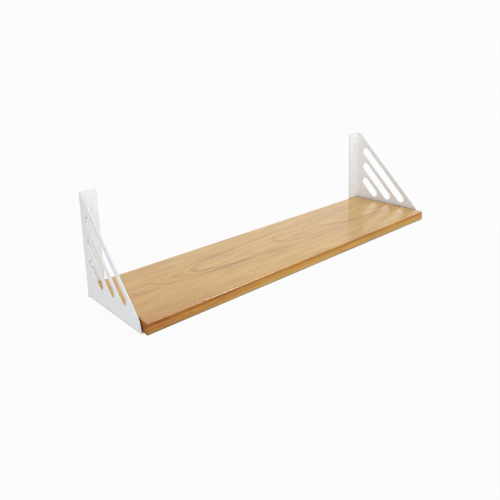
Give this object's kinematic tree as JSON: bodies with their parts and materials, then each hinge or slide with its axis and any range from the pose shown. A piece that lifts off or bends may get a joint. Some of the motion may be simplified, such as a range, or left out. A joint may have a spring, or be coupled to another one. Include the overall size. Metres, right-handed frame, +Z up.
{
  "type": "wall shelf with brackets",
  "caption": "Straight wooden wall shelf held between two folded white sheet-steel triangular end brackets with slanted slots; screws to a wall through the brackets' rear flanges.",
  "frame": {"origin": "centre of the rectangle of four wall-screw holes, on the wall plane (the back faces of the two wall flanges)", "axes": "+X along the board to the viewer's right when facing the wall, +Y into the wall, +Z up"},
  "size_m": [0.805, 0.2025, 0.2025],
  "materials": {
    "oak_board": "satin lacquer over light oak with straight and cathedral grain along the board",
    "white_powder_coat": "matt white powder coat with a fine orange-peel texture",
    "zinc_screw": "bright zinc-plated pan head"
  },
  "bodies": {
    "root": {"shelf_board": "oak_board", "bracket_left": "white_powder_coat", "bracket_right": "white_powder_coat", "board_screw_left_rear": "zinc_screw", "board_screw_left_front": "zinc_screw", "board_screw_right_rear": "zinc_screw", "board_screw_right_front": "zinc_screw"}
  },
  "joints": []
}
